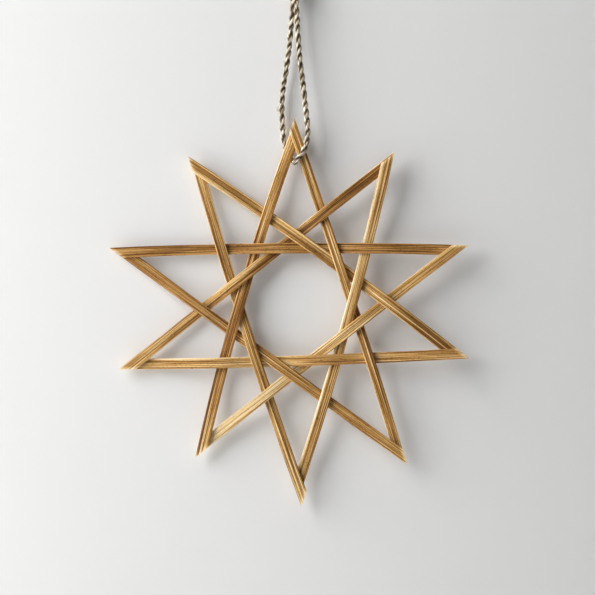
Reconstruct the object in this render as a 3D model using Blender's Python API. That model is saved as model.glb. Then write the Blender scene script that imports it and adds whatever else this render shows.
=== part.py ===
"""A ten-pointed star woven from ten flat bamboo strips, hung by a knotted loop of twine.

The star hangs in the XZ plane and its front faces -Y. The origin is inside the top of the twine's eye,
where a nail or hook holds it. All sizes are in metres.
"""

from math import cos, pi, radians, sin

import bmesh
import bpy
import numpy as np
from mathutils import Matrix, Vector

# The star
TIP_RADIUS = 0.0724  # from the star's centre to a point
STAR_TURN = 1.05  # degrees anticlockwise, as it hangs

# The bamboo
STRIPS = 10  # one strip starts at each point
TIPS_ON = 4  # and ends at the fourth point on, clockwise
STRIP_WIDTH = 0.0039
STRIP_THICKNESS = 0.0011
EDGE_CHAMFER = 0.0003  # the pared long edges
CONTACT_GAP = 0.00025  # between two strips where they cross
PLANE_PULL = 1e-3  # how strongly a strip keeps to the star's plane, against its stiffness
CONTACT_PUSH = 1e3  # how strongly crossing strips hold each other apart, in the same measure
SETTLING_ROUNDS = 60
TIP_OVERRUN = 0.0002  # how far the lower strip's end stands past the upper strip's edge
WOVEN_RINGS = 31  # cross-sections through the woven middle of a strip
ARM_RINGS = 6  # cross-sections along each plain arm of it

# Two strips whose first points are this many apart cross, and this says whether the later one lies over
LATER_OVER = {1: True, 2: True, 3: False, TIPS_ON: True}

# The strips were split and laid by hand. Each lies a little off the even star:
# degrees turned anticlockwise, metres set outward, metres bowed outward at its middle, metres wider,
# metres that its first end stands past the lower strip's edge
HAND_LAID = (
    (-1.0, 0.0005, 0.0007, -0.0004, 0.0004),
    (1.6, -0.0008, 0.0018, 0.0000, -0.0004),
    (0.8, 0.0006, -0.0003, -0.0001, 0.0000),
    (0.8, 0.0004, 0.0009, 0.0001, 0.0000),
    (-1.1, 0.0023, 0.0002, 0.0000, 0.0000),
    (-1.5, -0.0004, 0.0014, -0.0001, 0.0021),
    (0.6, -0.0014, 0.0024, 0.0001, 0.0000),
    (1.3, 0.0012, 0.0002, 0.0000, 0.0000),
    (-0.7, 0.0012, 0.0013, 0.0000, 0.0000),
    (-0.8, 0.0007, 0.0017, 0.0003, 0.0007),
)

# The twine
TWINE_DIAMETER = 0.0022
ROUTE_STEPS = 2  # straight pieces of twine for each span of its route
KNOT_TURNS = 3
KNOT_CORE_RADIUS = 0.0028
KNOT_SEGMENTS = 14
KNOT_BASE = 0.1218  # above the star's centre
KNOT_SIDE = -0.0004  # to the right of the star's centre
KNOT_TOP = KNOT_BASE + KNOT_TURNS * TWINE_DIAMETER
EYE_HEIGHT = 0.0150  # from the knot's top to the middle of the twine at the eye's top
HANG_DROP = KNOT_TOP + EYE_HEIGHT - TWINE_DIAMETER / 2  # from inside the eye's top to the star's centre

# The loop's route in millimetres: right of the star's centre, in front of it and above it.
# It comes down in front, goes through the gap under the top point and rises behind.
LOOP_ROUTE = (
    (0.20, 1.35, 121.5),
    (0.55, 1.40, 115.0),
    (0.95, 1.45, 107.5),
    (1.60, 1.55, 99.0),
    (2.50, 1.70, 91.5),
    (3.40, 1.90, 84.5),
    (4.10, 2.10, 78.0),
    (4.60, 2.25, 73.0),
    (4.75, 2.35, 68.5),
    (4.40, 2.35, 64.8),
    (3.65, 2.35, 62.1),
    (2.60, 2.35, 60.1),
    (1.45, 2.30, 58.7),
    (0.45, 1.85, 57.8),
    (0.00, 0.90, 57.2),
    (-0.15, -0.30, 57.0),
    (-0.35, -1.50, 57.1),
    (-0.85, -2.60, 57.7),
    (-1.90, -3.10, 59.0),
    (-3.20, -3.20, 61.4),
    (-4.25, -3.10, 64.4),
    (-4.90, -2.80, 68.0),
    (-5.25, -2.50, 73.0),
    (-5.45, -2.25, 79.0),
    (-5.05, -2.00, 85.5),
    (-4.00, -1.80, 92.0),
    (-2.90, -1.60, 99.5),
    (-2.00, -1.50, 107.5),
    (-1.40, -1.40, 115.0),
    (-1.00, -1.35, 121.5),
)

# The eye's route, measured up from the knot's top
EYE_ROUTE = (
    (-1.60, 0.00, 0.3),
    (-1.85, 0.00, 1.8),
    (-2.90, 0.10, 4.2),
    (-4.20, 0.20, 7.2),
    (-4.60, 0.20, 10.2),
    (-3.70, 0.15, 12.9),
    (-2.00, 0.05, 14.5),
    (0.00, 0.00, 15.0),
    (2.00, -0.05, 14.5),
    (3.60, -0.15, 12.8),
    (4.35, -0.20, 10.1),
    (3.80, -0.20, 7.1),
    (2.30, -0.10, 4.1),
    (1.10, 0.00, 1.8),
    (0.90, 0.00, 0.3),
)

HALF_STRIP = TIP_RADIUS * sin(pi * TIPS_ON / STRIPS)  # from a strip's middle to its point
STEP_ANGLE = 2 * pi / STRIPS


def unit(angle):
    """A unit vector in the star's plane, as (right, up)."""
    return np.array([cos(angle), sin(angle)])


def clockwise(vector):
    return np.array([vector[1], -vector[0]])


class Strip:
    """One strip's centreline in the star's plane, and its width."""

    def __init__(self, number):
        turn, outward, bow, wider, self.overrun = HAND_LAID[number]
        facing = radians(90 + STAR_TURN + turn) - STEP_ANGLE * (number + TIPS_ON / 2)
        self.out = unit(facing)
        self.along = clockwise(self.out)
        self.width = STRIP_WIDTH + wider
        self.distance = TIP_RADIUS * cos(pi * TIPS_ON / STRIPS) - STRIP_WIDTH / 2 + outward
        self.bow = bow

    def offset(self, s):
        return self.distance + self.bow * (1 - (s / HALF_STRIP) ** 2)

    def point(self, s):
        return self.along * s + self.out * self.offset(s)

    def direction(self, s):
        slope = -2 * self.bow * s / HALF_STRIP**2
        vector = self.along + self.out * slope
        return vector / np.linalg.norm(vector)

    def outward(self, s):
        return -clockwise(self.direction(s))


def meeting(a, b):
    """Where two strips' centrelines cross, as the distance along each from its middle."""
    s = np.zeros(2)
    for _ in range(8):
        apart = b.point(s[1]) - a.point(s[0])
        s = s + np.linalg.solve(np.column_stack([a.direction(s[0]), -b.direction(s[1])]), apart)
    return s


def crossings():
    """Each crossing as (lower strip, place along it, upper strip, place along it, whether at a point)."""
    found = []
    for first in range(STRIPS):
        for step, later_over in LATER_OVER.items():
            later = (first + step) % STRIPS
            s = meeting(STAR[first], STAR[later])
            pair = [(first, s[0]), (later, s[1])]
            if not later_over:
                pair.reverse()
            found.append((*pair[0], *pair[1], step == TIPS_ON))
    return found


def overlap_places(lower, s_lower, upper, s_upper):
    """Nine places in the diamond where two strips overlap, as distances along each."""
    a, b = STAR[lower], STAR[upper]
    sides = np.array([a.outward(s_lower), b.outward(s_upper)])
    for u in (-1, 0, 1):
        for v in (-1, 0, 1):
            place = np.linalg.solve(sides, [u * a.width / 2, v * b.width / 2])
            yield (
                s_lower + place @ a.direction(s_lower),
                s_upper + place @ b.direction(s_upper),
            )


def ring_places():
    """The cross-sections' places along a strip, close together through the weave."""
    woven = max(abs(c[1]) for c in CROSSINGS if not c[4]) + STRIP_WIDTH
    end = HALF_STRIP + 2 * STRIP_WIDTH
    arm = np.linspace(woven, end, ARM_RINGS + 1)[1:]
    return np.concatenate([-arm[::-1], np.linspace(-woven, woven, WOVEN_RINGS), arm])


def height_row(strip, s):
    """The weights that read a strip's height at s from all the strips' ring heights."""
    row = np.zeros(STRIPS * len(RINGS))
    k = int(np.clip(np.searchsorted(RINGS, s) - 1, 0, len(RINGS) - 2))
    part = (s - RINGS[k]) / (RINGS[k + 1] - RINGS[k])
    row[strip * len(RINGS) + k] = 1 - part
    row[strip * len(RINGS) + k + 1] = part
    return row


def bending():
    """The stiffness of one strip against bending forward and back, with a slight pull to the star's plane."""
    count = len(RINGS)
    gaps = np.diff(RINGS) / np.diff(RINGS).mean()
    slope = (np.eye(count)[1:] - np.eye(count)[:-1]) / gaps[:, None]
    curve = np.diff(slope, axis=0) / np.sqrt((gaps[1:] + gaps[:-1]) / 2)[:, None]
    return curve.T @ curve + PLANE_PULL * np.eye(count)


def woven_heights():
    """Every strip's height in front of the star's plane, as springy strips settle over and under each other."""
    rows, fixed = [], []
    for lower, s_lower, upper, s_upper, at_point in CROSSINGS:
        for low, high in overlap_places(lower, s_lower, upper, s_upper):
            rows.append(height_row(upper, high) - height_row(lower, low))
            fixed.append(at_point)
    rows, fixed = np.array(rows), np.array(fixed)
    apart = STRIP_THICKNESS + CONTACT_GAP
    bend = np.kron(np.eye(STRIPS), bending())
    heights = np.zeros(STRIPS * len(RINGS))
    for _ in range(SETTLING_ROUNDS):
        held = rows[fixed | (rows @ heights < apart)]
        press = CONTACT_PUSH * held.T @ held
        heights = np.linalg.solve(bend + press, CONTACT_PUSH * apart * held.sum(axis=0))
    return heights.reshape(STRIPS, len(RINGS))


def place(right, front, up):
    """A point of the model from its place beside, in front of and above the star's centre."""
    return Vector((right, -front, up - HANG_DROP))


def make_material(name, colour, roughness):
    material = bpy.data.materials.new(name)
    material.use_nodes = True
    shader = material.node_tree.nodes["Principled BSDF"]
    shader.inputs["Base Color"].default_value = (*colour, 1)
    shader.inputs["Roughness"].default_value = roughness
    shader.inputs["Metallic"].default_value = 0
    return material


def add_object(name, data, material):
    piece = bpy.data.objects.new(name, data)
    data.materials.append(material)
    STAR_COLLECTION.objects.link(piece)
    return piece


def add_mesh(name, bm, material):
    bmesh.ops.recalc_face_normals(bm, faces=bm.faces)
    mesh = bpy.data.meshes.new(name)
    bm.to_mesh(mesh)
    bm.free()
    return add_object(name, mesh, material)


def slice_at(bm, point, normal, clear=False):
    """Cuts the mesh by a plane, and with clear drops the side that the normal points to and closes the cut."""
    bmesh.ops.bisect_plane(
        bm,
        geom=bm.verts[:] + bm.edges[:] + bm.faces[:],
        dist=1e-7,
        plane_co=point,
        plane_no=normal,
        clear_outer=clear,
    )
    if clear:
        bmesh.ops.holes_fill(bm, edges=[edge for edge in bm.edges if edge.is_boundary])


def trim_end(bm, neighbour, s, allowance):
    """Cuts a strip's end along the outer edge of the strip that it meets at a point of the star."""
    strip = STAR[neighbour]
    out = strip.outward(s)
    edge = strip.point(s) + out * (strip.width / 2 + allowance)
    slice_at(bm, place(edge[0], 0, edge[1]), Vector((out[0], 0, out[1])), clear=True)


def make_strip(number, heights, material):
    strip = STAR[number]
    bm = bmesh.new()
    blank = Matrix.Diagonal((2 * RINGS[-1], strip.width, STRIP_THICKNESS, 1))
    bmesh.ops.create_cube(bm, size=1, matrix=blank)
    long_edges = [edge for edge in bm.edges if edge.calc_length() > RINGS[-1]]
    bmesh.ops.bevel(bm, geom=long_edges, offset=EDGE_CHAMFER, segments=1, affect="EDGES")
    for s in RINGS[1:-1]:
        slice_at(bm, (s, 0, 0), (1, 0, 0))
    for vertex in bm.verts:
        s, across, depth = vertex.co
        spot = strip.point(s) + strip.out * across
        vertex.co = place(spot[0], np.interp(s, RINGS, heights) + depth, spot[1])
    for lower, s_lower, upper, s_upper, at_point in CROSSINGS:
        if at_point and lower == number:
            trim_end(bm, upper, s_upper, TIP_OVERRUN)
        if at_point and upper == number:
            trim_end(bm, lower, s_lower, strip.overrun)
    return add_mesh(f"bamboo_strip_{number + 1:02d}", bm, material)


def smooth_route(route, base):
    """Points on a smooth curve through a route's own points, which are measured up from the base."""
    points = [place(right / 1000, front / 1000, base + up / 1000) for right, front, up in route]
    points = [2 * points[0] - points[1], *points, 2 * points[-1] - points[-2]]
    line = []
    for before, start, end, after in zip(points, points[1:], points[2:], points[3:]):
        for step in range(ROUTE_STEPS):
            t = step / ROUTE_STEPS
            line.append(
                0.5
                * (
                    2 * start
                    + (end - before) * t
                    + (2 * before - 5 * start + 4 * end - after) * t**2
                    + (3 * start - before - 3 * end + after) * t**3
                )
            )
    return [*line, points[-2]]


def make_twine(name, route, base, material):
    line = smooth_route(route, base)
    curve = bpy.data.curves.new(name, "CURVE")
    curve.dimensions = "3D"
    curve.bevel_depth = TWINE_DIAMETER / 2
    curve.bevel_resolution = 2
    curve.use_fill_caps = True
    spline = curve.splines.new("POLY")
    spline.points.add(len(line) - 1)
    for spot, point in zip(spline.points, line):
        spot.co = (*point, 1)
    return add_object(name, curve, material)


def make_knot(material):
    """The drawn-up knot, a turned barrel whose ridges are the turns of twine round the two legs."""
    profile = [(0, 0)]
    for turn in range(KNOT_TURNS):
        middle = (turn + 0.5) * TWINE_DIAMETER
        for angle in (-75, -38, 0, 38, 75):
            out = KNOT_CORE_RADIUS + TWINE_DIAMETER / 2 * cos(radians(angle))
            profile.append((out, middle + TWINE_DIAMETER / 2 * sin(radians(angle))))
    profile.append((0, KNOT_TURNS * TWINE_DIAMETER))
    bm = bmesh.new()
    spots = [bm.verts.new(place(KNOT_SIDE + out, 0, KNOT_BASE + up)) for out, up in profile]
    edges = [bm.edges.new(pair) for pair in zip(spots, spots[1:])]
    bmesh.ops.spin(
        bm,
        geom=spots + edges,
        cent=place(KNOT_SIDE, 0, KNOT_BASE),
        axis=(0, 0, 1),
        angle=2 * pi,
        steps=KNOT_SEGMENTS,
        use_merge=True,
    )
    bmesh.ops.remove_doubles(bm, verts=bm.verts, dist=1e-6)
    return add_mesh("twine_knot", bm, material)


def clear_scene():
    for piece in list(bpy.data.objects):
        bpy.data.objects.remove(piece)


clear_scene()
STAR_COLLECTION = bpy.data.collections.new("woven_bamboo_star")
bpy.context.scene.collection.children.link(STAR_COLLECTION)
BAMBOO = make_material("bamboo", (0.50, 0.29, 0.10), 0.45)
TWINE = make_material("twine", (0.42, 0.35, 0.25), 0.9)

STAR = [Strip(number) for number in range(STRIPS)]
CROSSINGS = crossings()
RINGS = ring_places()
HEIGHTS = woven_heights()

for number in range(STRIPS):
    make_strip(number, HEIGHTS[number], BAMBOO)
make_twine("twine_loop", LOOP_ROUTE, 0, TWINE)
make_knot(TWINE)
make_twine("twine_eye", EYE_ROUTE, KNOT_TOP, TWINE)
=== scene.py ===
"""The looks of a woven bamboo star on a loop of twine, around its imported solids.

Lengths are in metres unless a name or comment says millimetres. The star hangs in the XZ plane and
faces -Y, and the origin is inside the top of the twine's eye.
"""

from math import cos, pi, radians, sin

import bpy
import numpy as np
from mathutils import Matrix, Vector, noise
from mathutils.kdtree import KDTree


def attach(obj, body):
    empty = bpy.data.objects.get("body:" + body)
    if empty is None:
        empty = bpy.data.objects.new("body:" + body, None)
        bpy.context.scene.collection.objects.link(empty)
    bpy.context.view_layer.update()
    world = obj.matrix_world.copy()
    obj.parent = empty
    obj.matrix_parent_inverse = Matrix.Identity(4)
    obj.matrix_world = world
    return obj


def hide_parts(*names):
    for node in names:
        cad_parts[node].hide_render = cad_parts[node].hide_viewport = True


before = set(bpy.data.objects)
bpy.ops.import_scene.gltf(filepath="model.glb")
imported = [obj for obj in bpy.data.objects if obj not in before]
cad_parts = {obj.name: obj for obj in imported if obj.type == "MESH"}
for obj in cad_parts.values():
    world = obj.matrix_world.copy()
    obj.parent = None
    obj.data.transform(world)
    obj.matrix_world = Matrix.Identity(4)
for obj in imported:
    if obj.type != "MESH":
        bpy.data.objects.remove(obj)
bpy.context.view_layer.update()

MM = 0.001

# The photograph's view of the star
STAR_CENTRE = (0, 0, -0.1423)
VIEW_CENTRE = (0.00083, 0, -0.1389)
VIEW_WIDTH = 0.2358  # what the picture spans in the star's plane
CAMERA_DISTANCE = 0.9
SENSOR = 36  # millimetres

# The twine
TWINE_DIAMETER = 0.0022
PLIES = 2
PLY_OFFSET = 0.00053  # from the twine's middle to a ply's
PLY_OFFSET_WANDER = 0.10  # as a share of it
PLY_RADIUS = 0.00063
PLY_RADIUS_WANDER = 0.16  # as a share of it
PLY_FIBRES = 7  # bundles of fibre round a ply
FIBRE_RELIEF = 0.00004
FIBRE_PITCH = 0.0060  # one whole turn of the fibres round their ply
TWINE_PITCH = 0.0074  # one whole turn of a ply round the other
TWINE_STEP = 0.00025
PLY_SMOOTHNESS = 12  # the bevel resolution of a ply's curve
HAIR_GAP = 0.0009  # along the twine, from one loose hair to the next
HAIR_RADIUS = 0.000022
HAIR_TAPER = (1.3, 1.1, 0.9, 0.6, 0.2)  # times the hair's radius, from its root to its end
TUFT = (-6.4, -2.3, 77.9)  # a small pale tuft on the loop, in millimetres as its route is
TUFT_HAIRS = 26
TUFT_TAPER = (3.0, 3.4, 3.0, 2.0, 0.6)
TUFT_REACH = (-0.0011, -0.0002, 0.0004)
INTO_KNOT = 0.0021  # how far the loop's and the eye's ends run on inside the knot
ROUTE_STEPS = 24  # straight pieces for each span of a route

# The knot
KNOT_TURNS = 3
KNOT_RADIUS = 0.0028  # from its middle to the middle of the twine wound round it
KNOT_BASE = 0.1218  # above the star's centre
KNOT_SIDE = -0.0004  # to the right of the star's centre
KNOT_TOP = KNOT_BASE + KNOT_TURNS * TWINE_DIAMETER
KNOT_STEPS = 240  # straight pieces of twine in it
TUCK = 0.45  # how far the knot's ends tuck in, as a share of its radius
TUCK_STEPS = 14

# The loop's route in millimetres: right of the star's centre, in front of it and above it
LOOP_ROUTE = (
    (0.20, 1.35, 121.5),
    (0.55, 1.40, 115.0),
    (0.95, 1.45, 107.5),
    (1.60, 1.55, 99.0),
    (2.50, 1.70, 91.5),
    (3.40, 1.90, 84.5),
    (4.10, 2.10, 78.0),
    (4.60, 2.25, 73.0),
    (4.75, 2.35, 68.5),
    (4.40, 2.35, 64.8),
    (3.65, 2.35, 62.1),
    (2.60, 2.35, 60.1),
    (1.45, 2.30, 58.7),
    (0.45, 1.85, 57.8),
    (0.00, 0.90, 57.2),
    (-0.15, -0.30, 57.0),
    (-0.35, -1.50, 57.1),
    (-0.85, -2.60, 57.7),
    (-1.90, -3.10, 59.0),
    (-3.20, -3.20, 61.4),
    (-4.25, -3.10, 64.4),
    (-4.90, -2.80, 68.0),
    (-5.25, -2.50, 73.0),
    (-5.45, -2.25, 79.0),
    (-5.05, -2.00, 85.5),
    (-4.00, -1.80, 92.0),
    (-2.90, -1.60, 99.5),
    (-2.00, -1.50, 107.5),
    (-1.40, -1.40, 115.0),
    (-1.00, -1.35, 121.5),
)

# The eye's route, measured up from the knot's top
EYE_ROUTE = (
    (-1.60, 0.00, 0.3),
    (-1.85, 0.00, 1.8),
    (-2.90, 0.10, 4.2),
    (-4.20, 0.20, 7.2),
    (-4.60, 0.20, 10.2),
    (-3.70, 0.15, 12.9),
    (-2.00, 0.05, 14.5),
    (0.00, 0.00, 15.0),
    (2.00, -0.05, 14.5),
    (3.60, -0.15, 12.8),
    (4.35, -0.20, 10.1),
    (3.80, -0.20, 7.1),
    (2.30, -0.10, 4.1),
    (1.10, 0.00, 1.8),
    (0.90, 0.00, 0.3),
)

# The bamboo strips
STRIPS = 10
STRIP_WIDTH = 0.0039
STRIP_THICKNESS = 0.0011
EDGE_ROUNDING = 0.00032
EDGE_SPREAD = 0.00012  # how far a strip's edges stand outside its solid's
HALF_LENGTH = 0.0770
STATIONS = 154  # cross-sections along a strip
FACE_COLUMNS = 28  # lengthwise rows of faces over each broad face
EDGE_SEGMENTS = 4
END_TRIM = 0.0003  # how much shorter than its solid a strip's under end is cut
WIDTH_WANDER = 0.020  # as a share of the width
ON_FACE = 0.45  # of the thickness from its middle: what lies further out is on a broad face
GROOVES = 9  # between the fibres of each broad face
GROOVE_DEPTH = 0.00006
STREAK_SPREAD = 1.7  # how far a streak fades past its half width
FRONT_STREAKS = 0.78  # how strongly the streaks show
BACK_STREAKS = 0.35
CUT_PALENESS = 1.3  # how much paler the cut ends are
CUT_REACH = 0.0007  # how far that reaches along a strip
EDGE_WARMTH = 0.4  # how much redder the long edges are
EDGE_BAND = 0.1  # how far in from an edge that reaches, as a share of the width
ARM_MIDDLE = 0.65  # where a strip's arms in the star's points are half way, from 0 to 1 at its end

# How each strip looks from the front, where 1 is pale and -1 is dark. tones are in its first arm, its
# middle and its other arm. warm is from -1, greyish, to 1, reddish. A streak is its place across, from
# -1, the edge nearer the star's centre, to 1; its half width in the same measure; its strength; where it
# is strongest, from -1 to 1 along the strip; and how far it reaches.
STRIP_LOOKS = (
    {
        "tones": (-0.30, -0.30, 0.00),
        "warm": 0.1,
        "streaks": (
            (0.85, 0.20, -0.5, 0.1, 1.2),
            (0.1, 0.16, 0.35, 0.0, 1.0),
            (-0.85, 0.16, 0.6, 0.2, 1.2),
            (0.35, 0.08, -0.4, 0.6, 0.4),
        ),
    },
    {
        "tones": (-0.06, 0.22, -0.11),
        "warm": -0.1,
        "streaks": (
            # Partly the pale skin of its inner edge, partly a painted highlight where the lamp lights
            # that edge.
            (-0.85, 0.22, 1.8, 0.2, 1.2),
            (0.85, 0.14, -0.5, 0.3, 1.0),
            (0.3, 0.08, -0.5, 0.6, 0.5),
            (0.0, 0.08, 0.4, 0.6, 0.5),
            (-0.3, 0.08, -0.5, 0.6, 0.5),
        ),
    },
    {
        "tones": (0.09, 0.18, 0.98),
        "warm": -0.1,
        "streaks": (
            (0.2, 0.20, 0.3, -0.6, 0.5),
            (-0.8, 0.16, 0.4, 0.0, 0.5),
            (0.9, 0.12, -0.4, 0.0, 1.2),
        ),
    },
    {
        "tones": (-0.23, 0.05, 0.25),
        "warm": 0.1,
        "streaks": (
            (-0.85, 0.14, 0.7, 0.3, 0.9),
            (0.45, 0.08, -0.7, 0.6, 0.4),
            (0.2, 0.08, 0.5, 0.6, 0.4),
            (-0.05, 0.08, -0.6, 0.6, 0.5),
            (-0.5, 0.08, -0.9, 0.6, 0.4),
            (0.9, 0.12, -0.3, -0.6, 0.6),
        ),
    },
    {
        "tones": (-0.12, -0.20, -0.35),
        "warm": 0.0,
        "streaks": (
            (0.6, 0.16, 0.4, 0.0, 1.5),
            (0.25, 0.07, -0.8, 0.0, 1.5),
            (0.0, 0.07, 0.5, 0.0, 1.5),
            (-0.2, 0.07, -0.8, 0.1, 1.2),
            (-0.4, 0.07, 0.5, 0.1, 1.2),
            (-0.6, 0.07, -0.7, 0.0, 1.5),
        ),
    },
    {
        "tones": (-0.22, -0.15, 0.07),
        "warm": -0.4,
        "streaks": (
            (0.45, 0.14, 0.8, -0.7, 0.5),
            (0.1, 0.07, -0.8, -0.6, 0.5),
            (-0.75, 0.20, -0.5, -0.5, 0.6),
            (0.0, 0.80, 0.6, -1.0, 0.2),
            (0.3, 0.30, 0.5, 0.0, 0.3),
            (0.5, 0.08, -0.6, 0.6, 0.5),
            (0.0, 0.08, -0.7, 0.6, 0.5),
            (-0.25, 0.12, 0.5, 0.6, 0.5),
            (-0.55, 0.08, -0.6, 0.7, 0.4),
        ),
    },
    {
        "tones": (-0.12, -0.55, 0.20),
        "warm": 0.4,
        "streaks": (
            (0.85, 0.16, -0.9, -0.7, 0.5),
            (0.35, 0.16, 1.3, -0.7, 0.35),
            (-0.05, 0.07, -1.1, -0.6, 0.3),
            (-0.35, 0.10, 0.5, -0.7, 0.3),
            (-0.7, 0.10, -0.8, -0.6, 0.4),
            (0.3, 0.25, 0.5, 0.0, 0.25),
            (0.05, 0.10, 0.8, 0.7, 0.4),
            (-0.75, 0.18, -0.9, 0.6, 0.6),
        ),
    },
    {
        "tones": (-0.14, -0.80, -0.70),
        "warm": 0.2,
        "streaks": (
            (0.5, 0.35, 0.6, -0.7, 0.5),
            (-0.18, 0.07, -1.2, -0.5, 0.6),
            (-0.42, 0.08, 1.2, -0.6, 0.5),
            (-0.68, 0.08, -1.0, -0.5, 0.6),
            (0.65, 0.24, 2.0, -0.1, 0.3),
            (-0.2, 0.25, -0.7, 0.0, 0.3),
            (0.85, 0.14, 1.3, 0.6, 0.6),
            (0.1, 0.30, -0.4, 0.85, 0.25),
        ),
    },
    {
        "tones": (-0.76, -0.30, -0.38),
        "warm": 0.3,
        "streaks": (
            (0.85, 0.16, -0.5, 0.2, 1.5),
            (0.2, 0.20, 0.4, 0.0, 1.0),
            (-0.35, 0.07, -1.0, -0.6, 0.4),
            (-0.7, 0.14, 0.5, -0.5, 0.8),
            (0.0, 0.07, -0.8, 0.6, 0.4),
            (-0.25, 0.08, 0.5, 0.6, 0.4),
            (-0.5, 0.07, -0.9, 0.6, 0.4),
            (0.0, 0.80, 0.4, 1.0, 0.2),
        ),
    },
    {
        "tones": (0.13, 0.15, -0.39),
        "warm": -0.2,
        "streaks": (
            (0.05, 0.22, -0.8, -0.5, 0.5),
            (0.75, 0.20, 0.5, -0.5, 0.5),
            (-0.65, 0.20, 0.4, -0.5, 0.5),
            (-0.4, 0.16, -0.5, 0.0, 0.3),
            (0.45, 0.07, -0.8, 0.6, 0.4),
            (0.05, 0.07, -0.8, 0.6, 0.4),
            (-0.35, 0.07, -0.8, 0.6, 0.4),
            (0.2, 0.50, 0.2, 0.3, 0.12),
            (0.0, 0.80, 0.6, 1.0, 0.2),
        ),
    },
)

# What is read from a strip's solid
READ_LENGTH = 0.004  # its edges are found in stretches this long
READ_SHARE = 0.85  # of the strip, because the cut ends would spoil the fit
HEIGHT_PLACES = 297
RAY_START = 0.02  # in front of and behind the star's plane
SMOOTHED_PLACES = 9

# The stage
WALL_GAP = 0.0056  # behind the star's plane at its middle
WALL_TURN = 2.2  # degrees, with its left side nearer the star
WALL_LEAN = 0.4  # degrees, with its top nearer the star
WALL_SIZE = 1.0
FLOOR_DROP = 0.40
FLOOR_SIZE = 6
FLOOR_GLOW = 0.82  # how bright the floor looks where no lamp reaches it
ROOM_SHINE = 0.07  # how strongly the room lights the star
ROOM_LOOK = 0.80  # how bright it looks

# Each lamp's name, place from the star's centre, size, watts and colour
LAMPS = (
    ("window", Vector((-1.35, -0.78, 0.85)).normalized(), 0.80, 14.7, (1.0, 0.995, 0.985)),
    ("side", Vector((-0.62, -0.20, -0.12)), 0.4, 2.2, (1.0, 1.0, 1.0)),
    ("fill", Vector((0.5, -1.2, 0.3)), 1.2, 0.3, (0.96, 0.98, 1.0)),
    ("back", Vector((0.1, 1.2, 0.25)), 1.0, 4.0, (1.0, 1.0, 1.0)),
)


def place(right, front, up):
    """A point from its place beside, in front of and above the star's centre."""
    return Vector((right, -front, STAR_CENTRE[2] + up))


def clear_selection():
    if bpy.context.object and bpy.context.object.mode != "OBJECT":
        bpy.ops.object.mode_set(mode="OBJECT")
    bpy.ops.object.select_all(action="DESELECT")


def pick(piece):
    clear_selection()
    piece.select_set(True)
    bpy.context.view_layer.objects.active = piece


def points_of(mesh):
    co = np.empty(len(mesh.vertices) * 3, np.float32)
    mesh.vertices.foreach_get("co", co)
    return co.reshape(-1, 3).astype(float)


def move_points(mesh, co):
    mesh.vertices.foreach_set("co", co.astype(np.float32).ravel())
    mesh.update()


def give_attribute(mesh, name, values):
    """Stores one number or one vector for each point of the mesh."""
    values = np.asarray(values, np.float32)
    vector = values.ndim == 2
    attribute = mesh.attributes.new(name, "FLOAT_VECTOR" if vector else "FLOAT", "POINT")
    attribute.data.foreach_set("vector" if vector else "value", values.ravel())


def drift(seed, where, length):
    """A slow random wander from about -1 to 1 at places along a line, over the given length."""
    steps = where / length
    return np.array([noise.noise(Vector((step, 7.3 * seed, 1.7))) for step in steps]) * 1.8


# The camera


def add_camera():
    data = bpy.data.cameras.new("camera")
    camera = bpy.data.objects.new("camera", data)
    bpy.context.scene.collection.objects.link(camera)
    data.sensor_width = SENSOR
    data.lens = SENSOR * CAMERA_DISTANCE / VIEW_WIDTH
    camera.location = (VIEW_CENTRE[0], -CAMERA_DISTANCE, VIEW_CENTRE[2])
    camera.rotation_euler = (radians(90), 0, 0)
    bpy.context.scene.camera = camera


# Materials


class Value:
    """A shader socket that is used in Python expressions."""

    def __init__(self, nodes, socket):
        self.nodes = nodes
        self.socket = socket

    def calc(self, operation, first, second):
        return self.nodes.add("Math", {"operation": operation}, {0: first, 1: second})

    def __add__(self, other):
        return self.calc("ADD", self, other)

    def __radd__(self, other):
        return self.calc("ADD", other, self)

    def __sub__(self, other):
        return self.calc("SUBTRACT", self, other)

    def __rsub__(self, other):
        return self.calc("SUBTRACT", other, self)

    def __mul__(self, other):
        return self.calc("MULTIPLY", self, other)

    def __rmul__(self, other):
        return self.calc("MULTIPLY", other, self)


class Nodes:
    """A tree of shader nodes, with the shader and the output that it starts with."""

    def __init__(self, tree, shader, output):
        self.tree = tree
        self.shader = tree.nodes[shader]
        self.output = tree.nodes[output]

    def add(self, kind, settings, sockets, output=0):
        """Adds a node of this kind, with its settings first and then its sockets' values or links."""
        node = self.tree.nodes.new("ShaderNode" + kind)
        for name, value in settings.items():
            if name == "stops":
                self.set_stops(node.color_ramp, value)
            else:
                setattr(node, name, value)
        self.fill(node, sockets)
        return Value(self, node.outputs[output])

    def fill(self, node, sockets):
        for name, value in sockets.items():
            if isinstance(value, Value):
                self.tree.links.new(value.socket, node.inputs[name])
            else:
                node.inputs[name].default_value = value

    def set_stops(self, ramp, stops):
        while len(ramp.elements) < len(stops):
            ramp.elements.new(1)
        for element, (position, colour) in zip(ramp.elements, stops):
            element.position = position
            element.color = (*colour, 1)

    def lit(self):
        """The surface as the tree's own shader draws it."""
        return Value(self, self.shader.outputs[0])

    def show_mix(self, factor, first, second):
        """Makes the surface a mix of two shaders."""
        mix = self.add("MixShader", {}, {0: factor, 1: first, 2: second})
        self.tree.links.new(mix.socket, self.output.inputs["Surface"])


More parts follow.
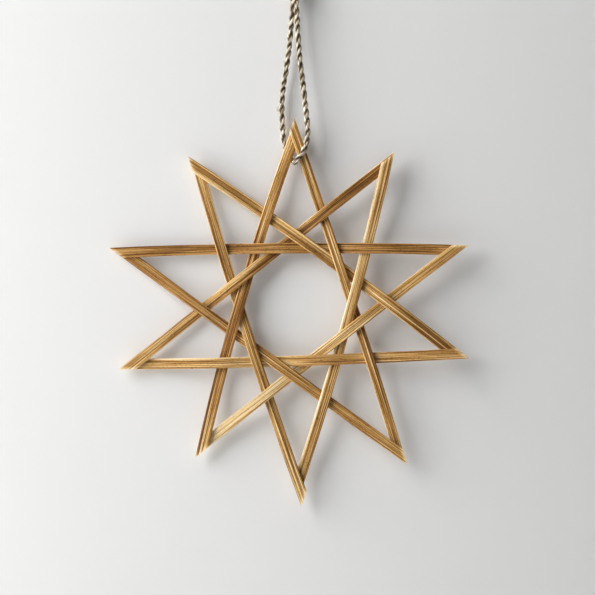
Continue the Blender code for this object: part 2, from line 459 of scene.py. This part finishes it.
class Paint(Nodes):
    """One material and what its pattern is made from."""

    def __init__(self, name):
        self.material = bpy.data.materials.new(name)
        self.material.use_nodes = True
        super().__init__(self.material.node_tree, "Principled BSDF", "Material Output")

    def attribute(self, name, output="Fac"):
        return self.add("Attribute", {"attribute_name": name}, {}, output)

    def grain_noise(self, vector, factors, detail=2.0, roughness=0.5):
        """Noise from 0 to 1 on coordinates in millimetres, stretched by the factors."""
        stretched = self.add("VectorMath", {"operation": "MULTIPLY"}, {0: vector, 1: factors})
        sockets = {"Vector": stretched, "Scale": 1.0, "Detail": detail, "Roughness": roughness}
        return self.add("TexNoise", {}, sockets)

    def above(self, value, low, high):
        """0 below low, 1 above high and smooth between."""
        settings = {"interpolation_type": "SMOOTHSTEP"}
        return self.add("MapRange", settings, {"Value": value, "From Min": low, "From Max": high})

    def ramp(self, value, stops):
        return self.add("ValToRGB", {"stops": stops}, {"Fac": value})

    def blend(self, factor, first, second, kind="MIX"):
        """A mix of two colours, which go into the mix node's sockets 6 and 7."""
        settings = {"data_type": "RGBA", "blend_type": kind}
        return self.add("Mix", settings, {"Factor": factor, 6: first, 7: second}, output=2)

    def finish(self, colour, roughness, height, depth, strength):
        """Gives the material its colour, its roughness and the bumps of its height, this deep."""
        bump = self.add("Bump", {}, {"Strength": strength, "Distance": depth, "Height": height})
        self.fill(self.shader, {"Base Color": colour, "Roughness": roughness, "Normal": bump})
        return self.material


def bamboo_material():
    paint = Paint("split_bamboo")
    grain = paint.attribute("grain", "Vector")
    tone = paint.attribute("tone")
    groove = paint.attribute("groove")
    fine = paint.grain_noise(grain, (0.09, 8.0, 6.0), detail=3.0, roughness=0.55)
    bands = paint.grain_noise(grain, (0.02, 2.1, 1.5), detail=2.0)
    threads = paint.grain_noise(grain, (0.022, 3.2, 2.4), detail=1.0)
    patches = paint.grain_noise(grain, (0.05, 0.30, 0.2), detail=2.0)
    flecks = paint.above(paint.grain_noise(grain, (0.9, 3.6, 3.0), detail=1.0), 0.58, 0.74)
    value = 0.53 + tone * 0.34 + (fine - 0.5) + (bands - 0.5) * 0.9 + (threads - 0.5) * 1.35
    # Painted shade: the colour is darker in the fibre grooves.
    value = value + (patches - 0.5) * 0.4 - groove * 0.30 - flecks * 0.25
    colour = paint.ramp(
        value,
        (
            (0.00, (0.090, 0.036, 0.006)),
            (0.25, (0.245, 0.106, 0.018)),
            (0.50, (0.500, 0.280, 0.084)),
            (0.75, (0.775, 0.540, 0.230)),
            (1.00, (0.960, 0.850, 0.600)),
        ),
    )
    tint = paint.blend(paint.attribute("warm"), (0.97, 1.0, 1.0, 1), (1.0, 0.88, 0.76, 1))
    height = fine * 0.6 + threads * 0.6 - flecks * 0.3
    paint.fill(paint.shader, {"Specular IOR Level": 0.33})
    stained = paint.blend(1.0, colour, tint, "MULTIPLY")
    return paint.finish(stained, 0.42 + fine * 0.2 + groove * 0.2, height, 0.00006, 0.6)


def twine_material():
    paint = Paint("natural_twine")
    lay = paint.attribute("lay", "Vector")
    hollow = paint.attribute("hollow")
    fine = paint.grain_noise(lay, (0.55, 9.0, 9.0), detail=3.0, roughness=0.65)
    tufts = paint.grain_noise(lay, (0.35, 2.5, 2.5), detail=2.0)
    value = 0.80 + (fine - 0.5) * 1.3 + (tufts - 0.5) * 1.7
    # Painted shade: darker deep between the plies and between the fibres, which leaves the plies'
    # outermost tops palest as a painted highlight.
    value = value - hollow * 1.15 - paint.attribute("crease") * 0.5
    colour = paint.ramp(
        value,
        (
            (0.00, (0.045, 0.031, 0.015)),
            (0.30, (0.115, 0.080, 0.040)),
            (0.60, (0.280, 0.213, 0.120)),
            (1.00, (0.960, 0.890, 0.760)),
        ),
    )
    return paint.finish(colour, 0.78 - fine * 0.15, fine + tufts * 0.5, 0.00010, 0.7)


def floor_material():
    """A plain pale floor that looks nearly as bright in its far corners as under the lamps."""
    paint = Paint("pale_floor")
    paint.fill(paint.shader, {"Base Color": (0.80, 0.80, 0.79, 1), "Roughness": 0.85})
    glow = paint.add("Emission", {}, {"Color": (0.80, 0.80, 0.80, 1), "Strength": FLOOR_GLOW})
    seen = paint.add("LightPath", {}, {}, "Is Camera Ray")
    paint.show_mix(seen * 0.85, paint.lit(), glow)
    return paint.material


def wall_material():
    """A plain pale wall, seen from its front only, so that views from behind show the star's back."""
    paint = Paint("pale_wall")
    paint.fill(paint.shader, {"Base Color": (0.80, 0.80, 0.80, 1), "Roughness": 0.9})
    behind = paint.add("NewGeometry", {}, {}, "Backfacing")
    paint.show_mix(behind, paint.lit(), paint.add("BsdfTransparent", {}, {}))
    return paint.material


# The twine


def smooth_route(route, base):
    """A dense smooth line through a route's points, which are measured up from the base."""
    points = [place(right * MM, front * MM, base + up * MM) for right, front, up in route]
    points = [2 * points[0] - points[1], *points, 2 * points[-1] - points[-2]]
    line = []
    for before, start, end, after in zip(points, points[1:], points[2:], points[3:]):
        for step in range(ROUTE_STEPS):
            t = step / ROUTE_STEPS
            line.append(
                0.5
                * (
                    2 * start
                    + (end - before) * t
                    + (2 * before - 5 * start + 4 * end - after) * t**2
                    + (3 * start - before - 3 * end + after) * t**3
                )
            )
    return np.array([*line, points[-2]])


def even_line(line, gap):
    """The same line with its points an even gap apart."""
    reach = np.concatenate([[0], np.cumsum(np.linalg.norm(np.diff(line, axis=0), axis=1))])
    where = np.linspace(0, reach[-1], int(reach[-1] / gap) + 1)
    return np.column_stack([np.interp(where, reach, line[:, axis]) for axis in range(3)]), where


def carried_frame(line):
    """Two directions square to a line at each point, carried along it without turning round it."""
    tangents = np.gradient(line, axis=0)
    tangents /= np.linalg.norm(tangents, axis=1)[:, None]
    side = np.cross(tangents[0], (0.3, 0.5, 0.2))
    sides = []
    for tangent in tangents:
        side = side - tangent * (side @ tangent)
        side = side / np.linalg.norm(side)
        sides.append(side)
    sides = np.array(sides)
    return sides, np.cross(tangents, sides)


def tubes(name, lines, radii, thickness, resolution):
    """Mesh tubes along lines of points, made from a curve. radii are in terms of the thickness."""
    curve = bpy.data.curves.new(name, "CURVE")
    curve.dimensions = "3D"
    curve.bevel_depth = thickness
    curve.bevel_resolution = resolution
    curve.use_fill_caps = True
    for points in lines:
        spline = curve.splines.new("POLY")
        spline.points.add(len(points) - 1)
        spline.points.foreach_set("co", np.column_stack([points, np.ones(len(points))]).ravel())
        spline.points.foreach_set("radius", radii)
    piece = bpy.data.objects.new(name, curve)
    bpy.context.scene.collection.objects.link(piece)
    pick(piece)
    bpy.ops.object.convert(target="MESH")
    return bpy.context.object


def join(pieces, name):
    pick(pieces[0])
    for piece in pieces:
        piece.select_set(True)
    bpy.ops.object.join()
    joined = bpy.context.object
    joined.name = name
    joined.data.name = name
    return joined


def close_up(piece, angle):
    """Merges doubled points, turns the faces outwards and smooths all but the sharp edges."""
    pick(piece)
    bpy.ops.object.mode_set(mode="EDIT")
    bpy.ops.mesh.select_all(action="SELECT")
    bpy.ops.mesh.remove_doubles(threshold=1e-7)
    bpy.ops.mesh.normals_make_consistent(inside=False)
    bpy.ops.object.mode_set(mode="OBJECT")
    bpy.ops.object.shade_smooth_by_angle(angle=radians(angle))


def twist_twine(name, route_line, seed):
    """Two plies of loose fibre laid round each other along the line."""
    line, along = even_line(route_line, TWINE_STEP)
    sides, ups = carried_frame(line)
    turn = 2 * pi * along / TWINE_PITCH + 0.5 * drift(seed + 3, along, 0.006)
    plies = []
    for ply in range(PLIES):
        angle = turn + 2 * pi * ply / PLIES
        offset = PLY_OFFSET * (1 + PLY_OFFSET_WANDER * drift(seed + ply, along, 0.004))
        away = sides * np.cos(angle)[:, None] + ups * np.sin(angle)[:, None]
        middle = line + away * offset[:, None]
        swell = 1 + PLY_RADIUS_WANDER * drift(seed + ply + 5, along, 0.0025)
        piece = tubes(f"{name}_ply", [middle], swell, PLY_RADIUS, PLY_SMOOTHNESS)
        mark_fibres(piece.data, middle, along, seed + ply)
        plies.append(piece)
    twine = join(plies, name)
    mark_hollows(twine.data, line)
    hairs = loose_hairs(line, sides, ups, seed)
    twine = join([twine, tubes(f"{name}_hairs", hairs, HAIR_TAPER, HAIR_RADIUS, 0)], name)
    close_up(twine, angle=60)
    return twine


def tuft_hairs():
    """A small tuft of fibre that has pulled out of the loop's left leg."""
    random = np.random.default_rng(5)
    root = np.array(place(*(value * MM for value in TUFT)))
    hairs = []
    for _ in range(TUFT_HAIRS):
        start = root + random.normal(0, 0.0003, 3) * (1, 1, 2.5)
        reach = np.array(TUFT_REACH) * random.uniform(0.3, 1.0)
        reach += random.normal(0, 0.0003, 3)
        curl = random.normal(0, 0.0006, 3)
        shares = np.linspace(0, 1, len(TUFT_TAPER))
        hairs.append([start + reach * t + curl * t * (1 - t) for t in shares])
    return hairs


def loose_hairs(line, sides, ups, seed):
    """Short curved hairs that stand off the twine's surface."""
    random = np.random.default_rng(seed)
    hairs = []
    for index in range(4, len(line) - 8, int(HAIR_GAP / TWINE_STEP)):
        place_on = index + random.integers(0, 4)
        angle = random.uniform(0, 2 * pi)
        away = sides[place_on] * cos(angle) + ups[place_on] * sin(angle)
        around = np.cross(away, line[place_on + 1] - line[place_on])
        around /= np.linalg.norm(around)
        forward = (line[place_on + 1] - line[place_on]) * random.choice((-1, 1))
        forward /= np.linalg.norm(forward)
        reach = random.uniform(0.0006, 0.0016)
        lift = random.uniform(0.25, 0.8)
        curl = random.uniform(-0.7, 0.7)
        start = line[place_on] + away * (PLY_OFFSET + 0.5 * PLY_RADIUS)
        hair = []
        for t in np.linspace(0, 1, len(HAIR_TAPER)):
            hair.append(start + reach * t * (forward + away * lift * (1.2 - t) + around * curl * t))
        hairs.append(hair)
    return hairs


def mark_fibres(mesh, middle, along, seed):
    """Raises a ply's fibres, stores each point's place among them as they twist, in millimetres, and how
    far down between them it lies, which the material paints darker as shade.
    """
    co = points_of(mesh)
    tree = KDTree(len(middle))
    for index, point in enumerate(middle):
        tree.insert(point, index)
    tree.balance()
    nearest = np.array([tree.find(point)[1] for point in co])
    sides, ups = carried_frame(middle)
    away = co - middle[nearest]
    round_angle = np.arctan2((away * ups[nearest]).sum(1), (away * sides[nearest]).sum(1))
    fibre_angle = round_angle + 2 * pi * along[nearest] / FIBRE_PITCH
    reach = PLY_RADIUS / MM
    lay = [along[nearest] / MM + 40 * seed, reach * np.cos(fibre_angle), reach * np.sin(fibre_angle)]
    give_attribute(mesh, "lay", np.column_stack(lay))
    wander = 0.8 * drift(seed + 9, along, 0.002)[nearest]
    ridge = np.abs(np.cos(PLY_FIBRES * (fibre_angle + wander) / 2))
    loose = 0.6 + 0.5 * drift(seed + 13, along, 0.0015)[nearest]
    away /= np.maximum(np.linalg.norm(away, axis=1), 1e-6)[:, None]
    move_points(mesh, co + away * ((ridge - 0.6) * loose * FIBRE_RELIEF)[:, None])
    # Painted shade: darker where a point lies down between the fibres.
    give_attribute(mesh, "crease", (1 - ridge) ** 3 * np.clip(loose, 0, 1))


def mark_hollows(mesh, line):
    """Stores how deep each point lies between the plies, from 0 outside to 1 at the twine's middle; the
    material paints shade there, and the plies' outermost tops palest as a painted highlight.
    """
    tree = KDTree(len(line))
    for index, point in enumerate(line):
        tree.insert(point, index)
    tree.balance()
    depth = np.array([tree.find(point)[2] for point in points_of(mesh)])
    full = PLY_OFFSET + PLY_RADIUS
    give_attribute(mesh, "hollow", np.clip((full - depth) / (full - 0.45 * PLY_RADIUS), 0, 1) ** 1.2)


def knot_line():
    """The twine's turns round its two legs, with each end tucked in."""
    turns = KNOT_TURNS - 0.15
    line = []
    for step in range(KNOT_STEPS + 1):
        share = step / KNOT_STEPS
        angle = 2 * pi * turns * share + 0.6
        steps_from_end = min(step, KNOT_STEPS - step)
        radius = KNOT_RADIUS * (1 - TUCK * max(0.0, 1 - steps_from_end / TUCK_STEPS))
        up = KNOT_BASE + TWINE_DIAMETER * (0.5 + (KNOT_TURNS - 1) * share)
        line.append(place(KNOT_SIDE + radius * cos(angle), radius * sin(angle), up))
    return np.array(line)


def run_on(route, length):
    """The route with both ends run on straight by a length in millimetres."""
    start = np.array(route[0]) + (0, 0, length)
    end = np.array(route[-1]) + (0, 0, length)
    return (tuple(start), *route, tuple(end))


def add_twine(material):
    loop_line = smooth_route(run_on(LOOP_ROUTE, INTO_KNOT / MM), 0)
    eye_line = smooth_route(run_on(EYE_ROUTE, -INTO_KNOT / MM), KNOT_TOP)
    loop = twist_twine("twine_loop_plies", loop_line, 1)
    tuft = tubes("tuft", tuft_hairs(), TUFT_TAPER, HAIR_RADIUS, 0)
    loop = join([loop, tuft], "twine_loop_plies")
    eye = twist_twine("twine_eye_plies", eye_line, 11)
    knot = twist_twine("twine_knot_turns", knot_line(), 21)
    for piece, node in ((loop, "twine_loop"), (eye, "twine_eye"), (knot, "twine_knot")):
        piece.data.materials.append(material)
        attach(piece, "root")
        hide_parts(node)


# The bamboo strips


class Strip:
    """One strip's line, width, bends and cut ends, read from its solid."""

    def __init__(self, number):
        self.number = number
        self.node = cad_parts[f"bamboo_strip_{number + 1:02d}"]
        flat = points_of(self.node.data)[:, [0, 2]] - np.array([STAR_CENTRE[0], STAR_CENTRE[2]])
        middle = flat.mean(0)
        along = np.linalg.svd(flat - middle)[2][0]
        out = np.array([-along[1], along[0]])
        self.out = out if out @ middle > 0 else -out
        self.along = np.array([self.out[1], -self.out[0]])
        s, across = flat @ self.along, flat @ self.out
        self.read_edges(s, across)
        self.read_heights()
        self.read_ends()

    def read_edges(self, s, across):
        """The middle line as a quadratic in the distance along, and the width."""
        stretch = np.round(s / READ_LENGTH)
        limit = READ_SHARE * HALF_LENGTH
        stretches = [value for value in np.unique(stretch) if abs(value * READ_LENGTH) < limit]
        middles = np.array([s[stretch == value].mean() for value in stretches])
        outer = np.polyfit(middles, [across[stretch == value].max() for value in stretches], 2)
        inner = np.polyfit(middles, [across[stretch == value].min() for value in stretches], 2)
        self.bow = (outer + inner) / 2
        self.width = float(np.mean(np.polyval(outer - inner, middles))) + 2 * EDGE_SPREAD

    def spot(self, s, across):
        """Places in the star's plane, as (right, up)."""
        offset = np.polyval(self.bow, s) + across
        return np.multiply.outer(s, self.along) + np.multiply.outer(offset, self.out)

    def read_heights(self):
        """How far behind the star's plane the middle runs, from rays shot at its front and back."""
        self.places = np.linspace(-HALF_LENGTH, HALF_LENGTH, HEIGHT_PLACES)
        found = []
        for s, (right, up) in zip(self.places, self.spot(self.places, 0 * self.places)):
            spot = place(right, 0, up)
            front = self.node.ray_cast(spot - Vector((0, RAY_START, 0)), (0, 1, 0))
            back = self.node.ray_cast(spot + Vector((0, RAY_START, 0)), (0, -1, 0))
            if front[0] and back[0]:
                found.append((s, (front[1].y + back[1].y) / 2))
        found = np.array(found)
        heights = np.interp(self.places, found[:, 0], found[:, 1])
        window = np.hanning(SMOOTHED_PLACES)
        padded = np.pad(heights, SMOOTHED_PLACES // 2, mode="edge")
        self.heights = np.convolve(padded, window / window.sum(), mode="valid")

    def read_ends(self):
        """The planes of the two cut ends, as (point, outward normal)."""
        self.ends = []
        along = Vector((self.along[0], 0, self.along[1]))
        for side in (-1, 1):
            normal, point, area = Vector(), Vector(), 0
            for face in self.node.data.polygons:
                if side * face.normal.dot(along) > 0.3 and abs(face.normal.y) < 0.3:
                    normal += face.normal * face.area
                    point += face.center * face.area
                    area += face.area
            normal.normalize()
            trim = END_TRIM if side > 0 else 0
            self.ends.append((point / area - normal * trim, normal))


def strip_blank():
    """A straight strip along X, with rounded long edges and rows enough for its fibres."""
    clear_selection()
    bpy.ops.mesh.primitive_cube_add(size=1)
    blank = bpy.context.object
    pick(blank)
    bpy.ops.object.mode_set(mode="EDIT")
    bpy.ops.mesh.select_all(action="SELECT")
    bpy.ops.transform.resize(value=(2 * HALF_LENGTH, STRIP_WIDTH, STRIP_THICKNESS))
    select_edges(blank, lambda step: abs(step.x) > HALF_LENGTH)
    bpy.ops.mesh.bevel(offset=EDGE_ROUNDING, segments=EDGE_SEGMENTS, affect="EDGES")
    select_edges(blank, lambda step: abs(step.y) > STRIP_WIDTH / 2)
    bpy.ops.mesh.subdivide(number_cuts=FACE_COLUMNS - 1)
    select_edges(blank, lambda step: abs(step.x) > HALF_LENGTH)
    bpy.ops.mesh.subdivide(number_cuts=STATIONS - 1)
    bpy.ops.object.mode_set(mode="OBJECT")
    return blank


def select_edges(piece, wanted):
    """Selects the edges whose run from end to end is wanted, in edit mode."""
    bpy.ops.mesh.select_all(action="DESELECT")
    bpy.ops.mesh.select_mode(type="EDGE")
    bpy.ops.object.mode_set(mode="OBJECT")
    points = piece.data.vertices
    for edge in piece.data.edges:
        edge.select = wanted(points[edge.vertices[1]].co - points[edge.vertices[0]].co)
    bpy.ops.object.mode_set(mode="EDIT")


def fibre_grooves(number, s, across, front):
    """How deep the grooves of a strip's front or back are at each point, from 0 to 1."""
    random = np.random.default_rng(100 * number + front)
    depth = np.zeros(len(s))
    stations, station = np.unique(s, return_inverse=True)
    for groove in range(GROOVES):
        seed = 1000 * number + 20 * groove + front
        middle = random.uniform(-0.42, 0.42) * STRIP_WIDTH
        middle = middle + 0.00012 * drift(seed, stations, 0.03)[station]
        reach = random.uniform(0.00007, 0.00016)
        shown = np.clip(0.35 + 1.1 * drift(seed + 7, stations, 0.022), 0, 1)[station]
        depth = np.maximum(depth, shown * np.exp(-(((across - middle) / reach) ** 2)))
    return depth


def strip_tone(looks, s, across, front):
    """How pale a strip is at each point. Its streaks are on the front, and faint ones on the back."""
    tone = np.interp(s / HALF_LENGTH, (-ARM_MIDDLE, 0, ARM_MIDDLE), looks["tones"])
    shown = np.where(front, FRONT_STREAKS, BACK_STREAKS)
    for middle, reach, strength, strongest, length in looks["streaks"]:
        over = np.exp(-(((2 * across / STRIP_WIDTH - middle) / (STREAK_SPREAD * reach)) ** 2))
        tone += shown * strength * over * np.exp(-(((s / HALF_LENGTH - strongest) / length) ** 2))
    return tone


def mark_strip(mesh, number):
    """Stores what the bamboo's material reads at each point, and returns how deep the grooves are."""
    s, across, depth = points_of(mesh).T
    looks = STRIP_LOOKS[number]
    groove = np.zeros(len(s))
    for front, side in ((True, -1), (False, 1)):
        on_face = side * depth > ON_FACE * STRIP_THICKNESS
        groove = np.where(on_face, fibre_grooves(number, s, across, front), groove)
    grain = np.column_stack([s, across, depth]) / MM
    give_attribute(mesh, "grain", grain + (200 * number, 9 * number, 0))
    give_attribute(mesh, "tone", strip_tone(looks, s, across, depth < 0.1 * STRIP_THICKNESS))
    edge = np.clip(1 - (0.5 - np.abs(across) / STRIP_WIDTH) / EDGE_BAND, 0, 1)
    give_attribute(mesh, "warm", 0.5 + 0.5 * looks["warm"] + EDGE_WARMTH * edge)
    give_attribute(mesh, "groove", groove)
    return groove


def bend_strip(mesh, strip, groove):
    """Cuts the grooves, gives the strip its own uneven width and lays it in its place in the weave."""
    s, across, depth = points_of(mesh).T
    stations, station = np.unique(np.round(s, 7), return_inverse=True)
    uneven = 1 + WIDTH_WANDER * drift(300 + strip.number, stations, 0.012)[station]
    spot = strip.spot(s, across * uneven * strip.width / STRIP_WIDTH)
    behind = np.interp(s, strip.places, strip.heights)
    behind += depth - np.sign(depth) * groove * GROOVE_DEPTH
    move_points(mesh, np.column_stack([spot[:, 0], behind, spot[:, 1] + STAR_CENTRE[2]]))


def add_strip(number, blank, material):
    strip = Strip(number)
    mesh = blank.data.copy()
    piece = bpy.data.objects.new(f"bamboo_strip_{number + 1:02d}_split", mesh)
    bpy.context.scene.collection.objects.link(piece)
    groove = mark_strip(mesh, number)
    bend_strip(mesh, strip, groove)
    cut_ends(piece, strip)
    pale_cuts(mesh, strip)
    close_up(piece, angle=40)
    mesh.materials.append(material)
    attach(piece, "root")
    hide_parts(strip.node.name)


def cut_ends(piece, strip):
    pick(piece)
    bpy.ops.object.mode_set(mode="EDIT")
    for point, normal in strip.ends:
        bpy.ops.mesh.select_all(action="SELECT")
        bpy.ops.mesh.bisect(plane_co=point, plane_no=normal, use_fill=True, clear_outer=True)
    bpy.ops.object.mode_set(mode="OBJECT")


def pale_cuts(mesh, strip):
    """Shows the fresh wood of a strip's two cut ends."""
    co = points_of(mesh)
    tone = np.empty(len(co), np.float32)
    mesh.attributes["tone"].data.foreach_get("value", tone)
    for point, normal in strip.ends:
        inside = (np.array(point) - co) @ np.array(normal)
        tone += CUT_PALENESS * np.exp(-((inside / CUT_REACH) ** 2))
    mesh.attributes["tone"].data.foreach_set("value", tone)


def add_strips(material):
    blank = strip_blank()
    for number in range(STRIPS):
        add_strip(number, blank, material)
    bpy.data.objects.remove(blank)


# The stage


def add_plane(name, size, location, rotation, material):
    clear_selection()
    bpy.ops.mesh.primitive_plane_add(size=size, location=location, rotation=rotation)
    plane = bpy.context.object
    plane.name = name
    plane.data.materials.append(material)
    return plane


def add_light(name, offset, size, power, colour):
    """A square lamp at an offset from the star's centre, which faces it."""
    data = bpy.data.lights.new(name, "AREA")
    data.size = size
    data.energy = power
    data.color = colour
    lamp = bpy.data.objects.new(name, data)
    bpy.context.scene.collection.objects.link(lamp)
    lamp.location = Vector(STAR_CENTRE) + offset
    lamp.rotation_euler = (-offset).to_track_quat("-Z", "Y").to_euler()


def add_room():
    """A pale room that looks brighter than it shines, so that the star keeps its shadows."""
    world = bpy.data.worlds.new("pale_room")
    bpy.context.scene.world = world
    world.use_nodes = True
    room = Nodes(world.node_tree, "Background", "World Output")
    room.fill(room.shader, {"Color": (0.90, 0.91, 0.93, 1), "Strength": ROOM_SHINE})
    look = room.add("Background", {}, {"Color": (0.90, 0.91, 0.92, 1), "Strength": ROOM_LOOK})
    seen = room.add("LightPath", {}, {}, "Is Camera Ray")
    room.show_mix(seen, room.lit(), look)


def add_stage():
    behind = (STAR_CENTRE[0], WALL_GAP, STAR_CENTRE[2])
    turn = (radians(90 + WALL_LEAN), 0, radians(WALL_TURN))
    wall = add_plane("wall", WALL_SIZE, behind, turn, wall_material())
    wall.visible_shadow = False
    below = (0, 0, STAR_CENTRE[2] - FLOOR_DROP)
    add_plane("floor", FLOOR_SIZE, below, (0, 0, 0), floor_material())
    for lamp in LAMPS:
        add_light(*lamp)
    add_room()
    bpy.context.scene.view_settings.view_transform = "Standard"


add_camera()
add_twine(twine_material())
add_strips(bamboo_material())
add_stage()
